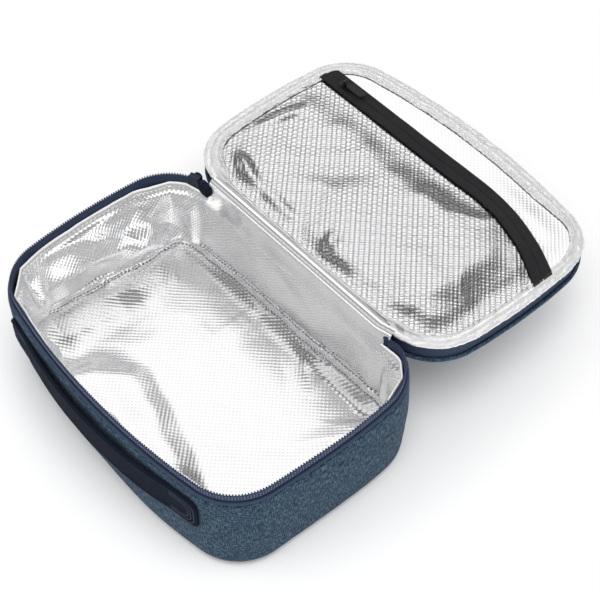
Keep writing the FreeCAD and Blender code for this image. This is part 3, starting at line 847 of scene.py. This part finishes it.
def roundedBox(name, low, high, radius, finish):
    centre, size = (low + high) / 2, high - low
    bpy.ops.mesh.primitive_cube_add(size=1)
    obj = bpy.context.object
    obj.name = obj.data.name = name
    for v in obj.data.vertices:
        v.co = Vector(c + p * d for c, p, d in zip(centre, v.co, size))
    obj.data.materials.append(finish)
    bevel = obj.modifiers.new("round", "BEVEL")
    bevel.width, bevel.segments = radius, 4
    obj.data.shade_smooth()
    return obj


tabs = dict(left=(tabCloth, (0.0012, 0.0012, -0.0014)), right=(navyTape, (-0.0030, -0.0004, -0.0006)))
tabDrop, tabRound = Vector((0, 0, 0.004)), 0.0013
for side, (finish, grow) in tabs.items():
    low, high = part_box("zip_end_tab_" + side)
    tab = roundedBox("endTab_" + side, low - Vector(grow) - tabDrop, high + Vector(grow), tabRound, finish)
    settle(tab, "base", "navy_tape", "zip_end_tab_" + side)
print("rim zip done")

# hinge panels: each layer is a tray half and a lid half that turn about the same axis
panels = dict(cloth=0.0041, foil=0.0053, slip=0.00012, overlap=9.0, rimFollow=1.5, free=(0.0002, 0.004),
              noise=(0.016, 73))


def lidSide(y, z):
    p = lidOpen @ Vector((0, y, z))
    return (p.y, p.z)


def archPart(radius, start, end):
    turn = np.radians(np.linspace(start, end, 16))
    return [(hinge["y"] + radius * cos(a), hinge["z"] + radius * sin(a)) for a in turn]


def hingePiece(name, line, finish, wave, past):
    xs = np.linspace(-hinge["half"], hinge["half"] + past, 130)
    line = np.asarray(line)
    points = np.zeros((len(xs), len(line), 3))
    points[..., 0], points[..., 1:] = xs[:, None], line[None]
    bow = -xs ** 2 / (2 * plan["backBow"])
    side = planAt(np.linspace(0, 0.16, 1601))[0]
    rim = np.interp(np.append(xs, hinge["half"]), -side[:, 0], side[:, 1])
    follow = np.where(xs > hinge["half"], panels["rimFollow"] * (rim[:-1] - rim[-1]), 0)
    points[..., 1] += follow[:, None]  # what reaches past the hinge follows the rim
    points[..., 1] += bow[:, None] * smooth(0.080, 0.070, points[..., 2]) * (points[..., 1] < hinge["y"])
    reach = np.hypot(points[..., 1] - hinge["y"], points[..., 2] - hinge["z"])
    away = smooth(panels["foil"] + panels["free"][0], panels["foil"] + panels["free"][1], reach)
    points[..., 1] += wave * away * rough(points * np.array([1, 0.3, 0.3]), *panels["noise"])
    u, v = np.append(xs, xs[-1]), np.append(runOf(line), 0)
    return gridPiece(name, points[::-1], finish, False, False, u, v)


def addHinge(label, finish, radius, trayLine, lidLine, wave, slot, node, past):
    trayArch = archPart(radius, 180, 90 - panels["overlap"])
    tray = hingePiece(label + "Tray", trayLine + trayArch, finish, wave, past)
    settle(tray, "base", slot, node)
    lidArch = archPart(radius - panels["slip"], 90 + panels["overlap"], -hinge["tilt"])
    cover = hingePiece(label + "Lid", lidArch + lidLine, finish, 0.0, 0.0)
    settle(cover, "lid", slot, opened=True)


clothTray = [(hinge["y"] - panels["cloth"], z) for z in np.linspace(0.0715, 0.0868, 8)]
clothLid = [lidSide(hinge["y"] - panels["cloth"], z) for z in np.linspace(0.0874, 0.1018, 8)]
foilTray = [(0.0834, 0.0660), (0.0836, 0.0690), (0.0841, 0.0725), (0.0847, 0.0760), (0.0852, 0.0795),
            (0.0856, 0.0830)]
foilLid = [lidSide(0.0854, 0.0890), lidSide(0.0844, 0.0900)]
addHinge("hingeCloth", denim, panels["cloth"], clothTray, clothLid, 0.0,
         "heather_fabric", "hinge_panel_fabric", 0.0042)
addHinge("hingeFoil", smoothFoil, panels["foil"], foilTray, foilLid, 0.0009,
         "silver_foil", "hinge_panel_foil", 0.0068)
print("hinge panels done")

# grab handle, one strap sewn flat at both ends
handle = dict(low=0.040, top=0.069, thick=0.0025, half=0.082, end=0.102, gap=0.0035, ease=0.02, round=0.0052,
              pad=0.0006, padAt=0.82, padWide=0.12, edge=0.0011, edgeFrom=0.93, wave=[(0.0006, 0.03, 81)],
              waveFrom=0.03, stitch=0.0012, bead=(0.0015, 0.0009, 0.0009), rows=(0.0024, 0.0048, 0.0072),
              rowBend=0.0055, rowStart=0.002, proud=0.0002)
handleMid, handleTall = (handle["low"] + handle["top"]) / 2, (handle["top"] - handle["low"]) / 2


def handlePath(xs):  # the strap's inner line and its outward normals
    half, bow, front = handle["half"], plan["frontBow"], plan["width"] / 2
    rise = bow - front - sqrt(bow ** 2 - half ** 2) + front + handle["gap"]
    radius = (half ** 2 + rise ** 2) / (2 * rise)
    p, out = planAt(np.linspace(loopLength * 0.25, loopLength * 0.75, 2000))
    yWall, nx, ny = (np.interp(xs, p[:, 0], v) for v in (p[:, 1], out[:, 0], out[:, 1]))
    free = -front - handle["gap"] + radius - np.sqrt(radius ** 2 - xs ** 2)
    lift = smooth(half, half - handle["ease"], np.abs(xs))
    return np.stack([xs, yWall * (1 - lift) + free * lift], 1), unit(np.stack([nx, ny], 1))


def makeHandle():
    line, away = handlePath(np.linspace(-handle["end"], handle["end"], 181))
    r, reach = handle["round"], handle["end"] - np.abs(line[:, 0])
    tall = handleTall - r + np.sqrt(r ** 2 - (r - np.minimum(reach, r)) ** 2)
    turned = lambda t: smooth(handle["edgeFrom"], 1.0, abs(t))  # the folded edges
    ridge = lambda t: handle["pad"] * exp(-((abs(t) - handle["padAt"]) / handle["padWide"]) ** 2)
    section = [(t, handle["thick"] + ridge(t) - handle["edge"] * turned(t)) for t in np.linspace(-1, 1, 19)]
    section = np.array(section + [(t, 0.0002 + 0.0007 * turned(t)) for t in np.linspace(1, -1, 11)])
    points = np.zeros((len(line), len(section), 3))
    points[..., :2] = line[:, None] + away[:, None] * section[None, :, 1:]
    points[..., 2] = handleMid + tall[:, None] * section[None, :, 0]
    points[..., 2] += rippled(points, handle["wave"]) * smooth(0, handle["waveFrom"], reach)[:, None]
    run = runOf(line)
    u, v = np.append(run, run[-1]), looped(section[:, 0] * handleTall)
    return gridPiece("grabHandle", points, webbing, False, True, u, v, 60, True), line, away


grabHandle, handleLine, handleAway = makeHandle()
settle(grabHandle, "base", "navy_webbing", "handle_strap", "handle_patch_left", "handle_patch_right")

stitchRow = np.linspace(-1, 1, 41)
for k in range(2 * len(handle["rows"])):  # rows round each sewn end
    side, inset = 1 if k >= len(handle["rows"]) else -1, handle["rows"][k % len(handle["rows"])]
    tall, start = handleTall - inset, side * (handle["half"] - handle["rowStart"])
    bend = handle["rowBend"] * (1 - np.abs(stitchRow) ** 5)
    xs = np.concatenate([[start], side * (handle["end"] - inset - handle["rowBend"] + bend), [start]])
    z = np.concatenate([[handleMid - tall], stitchRow * tall + handleMid, [handleMid + tall]])
    y, nx, ny = (np.interp(xs, handleLine[:, 0], v) for v in (handleLine[:, 1], *handleAway.T))
    out3 = np.stack([nx, ny, np.zeros_like(nx)], 1)
    at = np.stack([xs, y, z], 1) + out3 * (handle["thick"] + handle["proud"])
    row = beadRow("handleStitch%d" % k, at, out3, handle["stitch"], handle["bead"], navyThread, 0.05, 90 + k)
    settle(row, "base", "navy_webbing")
print("handle done")

# lid, made as if closed and then opened
lid = dict(cap=0.102, top=0.109, round=0.0065, crown=0.0022, liningZ=0.0887, netZ=0.0874, binding=0.0125,
           hingeSlim=0.0072, endSlim=0.6, endX=(0.060, 0.122), tapeZ=(0.0922, 0.1024), toothZ=0.0914,
           edgeWave=[(0.0004, 0.03, 101)], topWave=[(0.0003, 0.03, 103)])


def capSection():
    r = lid["round"]
    rows = [(0.0024, lid["cap"] + 0.0010), (0.0012, lid["cap"] + 0.0001), (0.0002, lid["cap"] + 0.0004)]
    return rows + arcPoints(r, lid["top"] - r, r, 0, pi / 2, 9)


def puffCap(points, out, s):
    return pushed(points, out, rippled(points, lid["edgeWave"]))


def crownHeight(xy):
    d = depthInside(xy) - lid["round"]
    soft = rippled(withZ(xy), lid["topWave"]) * smooth(0, 0.02, d)
    return lid["top"] + lid["crown"] * smooth(-0.004, 0.05, d) + soft


settle(ringPiece("lidEdgeCloth", whole, capSection(), denim, True, puffCap), "lid", "heather_fabric")
lidTop = discPiece("lidTopCloth", whole, lid["round"], 40, denim, crownHeight, True)
settle(lidTop, "lid", "heather_fabric", "lid_cap_fabric", "lid_foam")
settle(ringPiece("lidTape", lidZipRun, tapeSection(*lid["tapeZ"]), navyTape, False, None, True, 50),
       "lid", "navy_tape", "lid_zip_tape")
settle(zipTeeth("lidTeeth", lidZipRun, lid["toothZ"], False), "lid", "navy_coil", "lid_zip_coil")

bindingSection = [(0.0140, 0.0879), (0.0134, 0.0874), (0.0126, 0.0875), (0.0121, 0.0880), (0.0118, 0.0886),
                  (0.0116, 0.0881), (0.0113, 0.0872), (0.0104, 0.0864), (0.0092, 0.0860), (0.0079, 0.0862),
                  (0.0071, 0.0870), (0.0064, 0.0888), (0.0034, 0.0890), (0.0006, 0.0891), (-0.0004, 0.0896),
                  (-0.0002, 0.0901), (0.0046, 0.0902)]
binding = dict(hingeX=(0.097, 0.082), backY=0.05, slimInset=(0.0055, 0.0118), rimInset=0.0050, squash=0.35,
               ribNoise=(0.0042, 111), ribBias=0.4, rib=0.00045, ribDrop=0.0005, softNoise=(0.012, 113),
               soft=0.0005, softDrop=0.0004, dropZ=(0.0905, 0.088), dropInset=(0.0062, 0.0078))


def atHinge(xy):  # 1 along the hinge, 0 elsewhere
    return smooth(*binding["hingeX"], np.abs(xy[..., 0])) * (xy[..., 1] > binding["backY"])


def slimShare(xy):  # the binding is slim along the hinge and narrower at the right end
    return np.maximum(atHinge(xy), lid["endSlim"] * smooth(*lid["endX"], xy[..., 0]))


def liningInset(xy):
    return lid["binding"] - lid["hingeSlim"] * slimShare(xy)


def crinkleBinding(points, out, s):
    inset = np.array([r[0] for r in bindingSection])[None]
    line = planAt(s)[0]
    slim = lid["hingeSlim"] * slimShare(line)[:, None] * smooth(*binding["slimInset"], inset)
    slim = slim - atHinge(line)[:, None] * np.clip(binding["rimInset"] - inset, 0, None)
    along = np.zeros(points.shape)
    along[..., 0], along[..., 1] = s[:, None], points[..., 2] * binding["squash"]
    rib = creased(along, *binding["ribNoise"]) - binding["ribBias"]
    soft = rough(points, *binding["softNoise"])
    moved = pushed(points, out, binding["rib"] * rib + binding["soft"] * soft + slim)
    drop = binding["ribDrop"] * rib * smooth(*binding["dropZ"], points[..., 2]) + binding["softDrop"] * soft
    moved[..., 2] -= drop * smooth(*binding["dropInset"], inset)
    return moved


settle(ringPiece("lidBinding", around(900), bindingSection, bindingFoil, True, crinkleBinding),
       "lid", "silver_foil", "lid_binding_foil")

lidFolds = [((-0.126, 0.066), (-0.107, -0.006), 0.010, 0.0019),
            ((-0.101, 0.060), (-0.070, 0.070), 0.009, 0.0017),
            ((-0.066, 0.068), (-0.026, 0.072), 0.009, 0.0015),
            ((0.012, 0.076), (0.005, 0.058), 0.009, 0.0013)]  # ends, half width, height
lidBelly = dict(high=0.0030, noise=(0.055, 121), bias=0.45, crease=0.0007, creaseNoise=(0.040, 123),
                fine=[(0.0004, 0.018, 125)], foldWave=[(0.8, 0.014, 127)], edge=0.018, dome=0.0060,
                domeX=((-0.11, 0.070), (0.126, 0.086)), domeY=(0.086, 0.030), domeBeyond=(0.002, -0.042),
                calm=0.7, calmBeyond=(-0.012, 0.014), runX=(0.070, 0.016), runBeyond=(0.040, 0.010))
pocket = dict(y=-0.047, bendX=0.030, bend=0.200, half=0.0078, pitch=0.0042, thread=0.00016, turn=45,
              netSpan=(0.137, 0.09), netEdge=0.0008, netUnder=0.0062, reach=0.131, rows=9, split=0.0004,
              thick=0.0007, crown=0.00025, back=0.0001, tuck=0.0028, wave=[(0.0003, 0.02, 131)],
              coil=(0.0009, 0.0019, 0.0010), coilPitch=0.0015, coilLift=0.0006,
              stitch=(0.0020, 0.0004, 0.0004), stitchPitch=0.0028, stitchIn=0.0013, stitchLift=0.00095,
              beadSpare=0.001)


def lidFold(xy):
    total = np.zeros(len(xy))
    for start, end, wide, high in lidFolds:
        start, span = np.array(start), np.array(end) - np.array(start)
        length = np.linalg.norm(span)
        along, across = (xy - start) @ span / length, (xy - start) @ np.array([-span[1], span[0]]) / length
        ends = smooth(-wide, wide, along) * smooth(length + wide, length - wide, along)
        total += high * smooth(wide, 0, np.abs(across)) * ends
    return total * (1 + rippled(withZ(xy), lidBelly["foldWave"]))


def pocketLine(x, shift):  # the zip's middle line, straight and then bent towards the hinge
    x = np.asarray(x, float)
    r = pocket["bend"] - shift
    drop = np.sqrt(np.clip(r ** 2 - np.clip(x - pocket["bendX"], 0, r) ** 2, 0, None))
    return np.where(x > pocket["bendX"], pocket["y"] + pocket["bend"] - drop, pocket["y"] + shift)


def liningDrop(xy):  # how far the lid foil bellies out towards the tray
    x, y = xy.T
    d = depthInside(xy) - liningInset(xy)
    flat3 = withZ(xy)
    soft = lidBelly["high"] * (rough(flat3, *lidBelly["noise"]) + lidBelly["bias"])
    soft = soft + lidBelly["crease"] * creased(flat3, *lidBelly["creaseNoise"])
    soft = soft + rippled(flat3, lidBelly["fine"])
    beyond = pocketLine(x, 0.0) - y
    left, right = lidBelly["domeX"]
    dome = lidBelly["dome"] * smooth(*left, x) * smooth(*right, x)
    dome = dome * smooth(*lidBelly["domeBeyond"], beyond) * smooth(*lidBelly["domeY"], y)
    run = smooth(*lidBelly["runBeyond"], np.abs(beyond)) * smooth(*lidBelly["runX"], x)  # flat for the slider
    calm = 1 - lidBelly["calm"] * smooth(*lidBelly["calmBeyond"], beyond)
    return (1 - run) * smooth(0, lidBelly["edge"], d) * (soft * calm + dome + lidFold(xy))


def liningHeight(xy):
    return lid["liningZ"] - liningDrop(xy)


def netHeight(xy):
    return lid["netZ"] - liningDrop(xy)


edgeInset = liningInset(linePoint) - 0.0005
lidLining = discPiece("lidLining", liningRun, edgeInset, 60, lidFoil, liningHeight, False)
settle(lidLining, "lid", "silver_foil", "lid_lining_foil")


def netPoints():
    pitch, turn = pocket["pitch"], radians(pocket["turn"])
    i, j = np.meshgrid(np.arange(-90, 90), np.arange(-90, 90), indexing="ij")
    x, y = ((i + 0.5 * (j % 2)) * pitch).ravel(), (j * pitch * sqrt(3) / 2).ravel()
    xy = np.stack([x * cos(turn) - y * sin(turn), x * sin(turn) + y * cos(turn)], 1)
    xy = xy[np.all(np.abs(xy) < pocket["netSpan"], axis=1)]
    held = depthInside(xy) > liningInset(xy) + pocket["netEdge"]
    return xy[held & (xy[:, 1] > pocketLine(xy[:, 0], pocket["netUnder"]))]


def netUp(xy):  # normal of the net's surface
    step = 0.0006
    slopes = [(netHeight(xy + np.array(k) * step) - netHeight(xy - np.array(k) * step)) / (2 * step)
              for k in ((1, 0), (0, 1))]
    return unit(np.column_stack([-slopes[0], -slopes[1], np.ones(len(xy))]))


netXy = netPoints()
pocketNet = grown("pocketNet", netCells, withZ(netXy, netHeight(netXy)), {"up": netUp(netXy)},
                  Side=pocket["pitch"] / sqrt(3), Thread=pocket["thread"],
                  Turn=radians(pocket["turn"]) + pi / 2, Finish=blackThread)
settle(pocketNet, "lid", "black_net", "pocket_net")
print("net cells", len(netXy))


def stripAt(shift, count, spare):  # points along the pocket zip, as far as the binding
    xs = np.linspace(-pocket["reach"], pocket["reach"], count)
    xy = np.stack([xs, pocketLine(xs, shift)], 1)
    return xy[depthInside(xy) > liningInset(xy) - spare]


def pocketStrip(name, lowShift, highShift):
    rows = pocket["rows"]
    xs = stripAt((lowShift + highShift) / 2, 240, pocket["tuck"])[:, 0]
    shifts = np.linspace(lowShift, highShift, rows)
    points = np.zeros((len(xs), 2 * rows, 3))
    for k, shift in enumerate(shifts):
        xy = np.stack([xs, pocketLine(xs, shift)], 1)
        base = netHeight(xy)
        crown = pocket["crown"] * sin(pi * k / (rows - 1))
        points[:, k] = withZ(xy, base - pocket["thick"] - crown)
        points[:, 2 * rows - 1 - k] = withZ(xy, base - pocket["back"])
    points[..., 2] += rippled(points, pocket["wave"])
    v = looped(np.concatenate([shifts, shifts[::-1]]))
    return gridPiece(name, points[:, ::-1], blackTape, False, True, np.append(xs, xs[-1]), v, 50, True)


def stripBeads(name, shift, lift, pitch, size, vary, seed):
    xy = stripAt(shift, 500, pocket["beadSpare"])
    down = np.tile([0, 0, -1.0], (len(xy), 1))
    return beadRow(name, withZ(xy, netHeight(xy) - lift), down, pitch, size, blackThread, vary, seed)


pocketSides = (("Inner", pocket["split"], pocket["half"]), ("Outer", -pocket["half"], -pocket["split"]))
for label, low, high in pocketSides:
    strip = pocketStrip("pocketTape" + label, low, high)
    settle(strip, "lid", "black_tape", "pocket_zip_tape_" + label.lower())
coil = stripBeads("pocketCoil", 0.0, pocket["coilLift"], pocket["coilPitch"], pocket["coil"], 0.03, 140)
settle(coil, "lid", "black_coil", "pocket_zip_coil")
for k, side in enumerate((1, -1)):
    shift = side * (pocket["half"] - pocket["stitchIn"])
    row = stripBeads("pocketStitch%d" % k, shift, pocket["stitchLift"], pocket["stitchPitch"],
                     pocket["stitch"], 0.08, 150 + k)
    settle(row, "lid", "black_tape")
print("lid done")

# sliders and pulls keep their solids
for kind, finish in (("main", navyMetal), ("pocket", blackMetal)):
    for part in ("slider", "pull"):
        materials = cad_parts[kind + "_" + part].data.materials
        materials.clear()
        materials.append(finish)

# floor, light and camera
stageSet = dict(floorSize=6.0, worldGlow=0.80, key=11.0, fill=3.0, window=(-0.48, 0.41, 0.78),
                windowGlow=1.08, nearShare=0.02, farShare=0.92, fade=(1.20, 1.90),
                shadow=(1 / 0.14, 1 / 0.18, 0))
# brightness by degrees off the window
roomTones = [(0, 1.0), (19, 1.0), (29, 0.07), (36, 0.09), (43, 0.82), (52, 0.62), (59, 0.40), (65, 0.86),
             (72, 0.20), (81, 0.20), (88, 1.25), (108, 1.25), (122, 0.36), (180, 0.50)]


def mixShaders(share, a, b):
    return addNode(share.id_data, "ShaderNodeMixShader", {0: share, 1: a, 2: b})[0]


def makeStage():
    bpy.ops.mesh.primitive_plane_add(size=stageSet["floorSize"])
    floor = bpy.context.object
    floor.name = "studioFloor"
    mat, tree, shader = startFinish("studioFloor")
    matte = fill(shader, {"Base Color": (0.96, 0.96, 0.96, 1), "Roughness": 0.9, "Specular IOR Level": 0.0})
    glow = addNode(tree, "ShaderNodeEmission", {0: white})
    oval = mapped(addNode(tree, "ShaderNodeTexCoord")["Object"], stageSet["shadow"], shift=(0, -0.5, 0))
    away = addNode(tree, "ShaderNodeVectorMath", {0: oval}, operation="LENGTH")["Value"]
    fade = spread(away, *stageSet["fade"])  # plain white further out, so the shadow stays close
    near, far = stageSet["nearShare"], stageSet["farShare"]
    seen = addNode(tree, "ShaderNodeLightPath")["Is Camera Ray"]
    mix = mixShaders(times(seen, plus(near, times(fade, far - near))), matte[0], glow[0])
    fill(tree.nodes["Material Output"], {0: mix})
    floor.data.materials.append(mat)
    floor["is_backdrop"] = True


def makeWorld():  # even light on cloth, and one soft bright window among dimmer walls for the foil to mirror
    world = bpy.data.worlds.new("studio")
    scene.world = world
    world.use_nodes = True
    tree = world.node_tree
    glow = fill(tree.nodes["Background"], {0: white, 1: stageSet["worldGlow"]})
    ray, path = (addNode(tree, "ShaderNode" + kind) for kind in ("NewGeometry", "LightPath"))
    window = -Vector(stageSet["window"]).normalized()
    aims = {0: ray["Incoming"], 1: window}
    toward = addNode(tree, "ShaderNodeVectorMath", aims, operation="DOT_PRODUCT")["Value"]
    ramp = tree.nodes.new("ShaderNodeValToRGB")
    fill(ramp, {0: calc("DIVIDE", calc("ARCCOSINE", toward), pi)})
    marks = ramp.color_ramp.elements
    while len(marks) < len(roomTones):
        marks.new(0.5)
    for mark, (degrees, tone) in zip(marks, roomTones):
        mark.position = degrees / 180
        mark.color = (tone, tone, tone, 1)
    room = addNode(tree, "ShaderNodeBackground", {0: ramp.outputs[0], 1: stageSet["windowGlow"]})
    clear = addNode(tree, "ShaderNodeBackground", {0: white})
    look = mixShaders(path["Is Glossy Ray"], glow[0], room[0])
    seen = calc("MAXIMUM", path["Is Camera Ray"], path["Is Transmission Ray"])
    fill(tree.nodes["World Output"], {0: mixShaders(seen, look, clear[0])})


def addLamp(name, place, aim, size, power):
    data = bpy.data.lights.new(name, "AREA")
    data.shape, data.size, data.energy = "DISK", size, power
    lamp = linked(name, data)
    lamp.visible_glossy = False  # the foil mirrors the window alone
    lamp.location = place
    lamp.rotation_euler = (Vector(aim) - Vector(place)).to_track_quat("-Z", "Y").to_euler()


makeStage()
makeWorld()
addLamp("keyLamp", (0.55, -0.10, 1.6), (0, 0.05, 0.05), 1.1, stageSet["key"])
addLamp("fillLamp", (-0.5, -0.8, 1.2), (0, 0.05, 0.05), 1.2, stageSet["fill"])

photoView = dict(place=(0.5637, -0.3625, 0.9533), turns=(51.10, 51.78, -2.58), lens=97.5, sensor=36.0)
camera = linked("photoCamera", bpy.data.cameras.new("photoCamera"))
scene.camera = camera
camera.data.sensor_width, camera.data.lens = photoView["sensor"], photoView["lens"]
camera.data.clip_start, camera.data.clip_end = 0.05, 20.0
azimuth, elevation, roll = (radians(a) for a in photoView["turns"])
level = cos(elevation)
backwards = Vector((sin(azimuth) * level, -cos(azimuth) * level, sin(elevation)))
camera.location = photoView["place"]
camera.rotation_mode = "QUATERNION"
camera.rotation_quaternion = (-backwards).to_track_quat("-Z", "Y") @ Quaternion((0, 0, 1), roll)
print("stage and camera set")

low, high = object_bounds()
